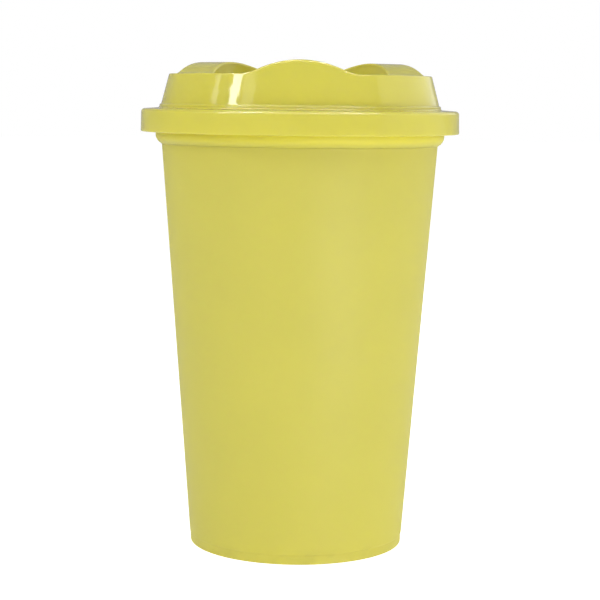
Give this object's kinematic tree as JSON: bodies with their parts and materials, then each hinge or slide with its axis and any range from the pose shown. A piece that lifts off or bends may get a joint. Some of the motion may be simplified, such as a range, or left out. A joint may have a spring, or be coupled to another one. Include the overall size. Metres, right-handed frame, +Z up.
{
  "type": "sharps container",
  "caption": "Round tapered yellow sharps container with a push-on skirted lid, a raised crown with rounded lobes, and a rotary dial that closes its drop opening.",
  "frame": {"origin": "centre of the base, on the surface the container stands on", "axes": "+Z up along the tub's axis, -Y towards the front lobe of the crown, +X to the right seen from the front"},
  "size_m": [0.1594, 0.1594, 0.2435],
  "materials": {
    "tub_plastic": "matt, finely textured yellow polypropylene",
    "lid_plastic": "glossy yellow polypropylene",
    "dial_plastic": "glossy yellow polypropylene"
  },
  "bodies": {
    "tub": {"container_body": "tub_plastic"},
    "lid": {"lid": "lid_plastic"},
    "dial": {"closure_dial": "dial_plastic"}
  },
  "joints": [
    {"name": "lid_lift", "type": "slide", "parent": "tub", "child": "lid", "axis": [0, 0, 1], "range_m": [0, 0.06]},
    {"name": "dial_turn", "type": "hinge", "parent": "lid", "child": "dial", "pos_m": [0, 0, 0.2211], "axis": [0, 0, -1], "range_deg": [0, 120]}
  ]
}
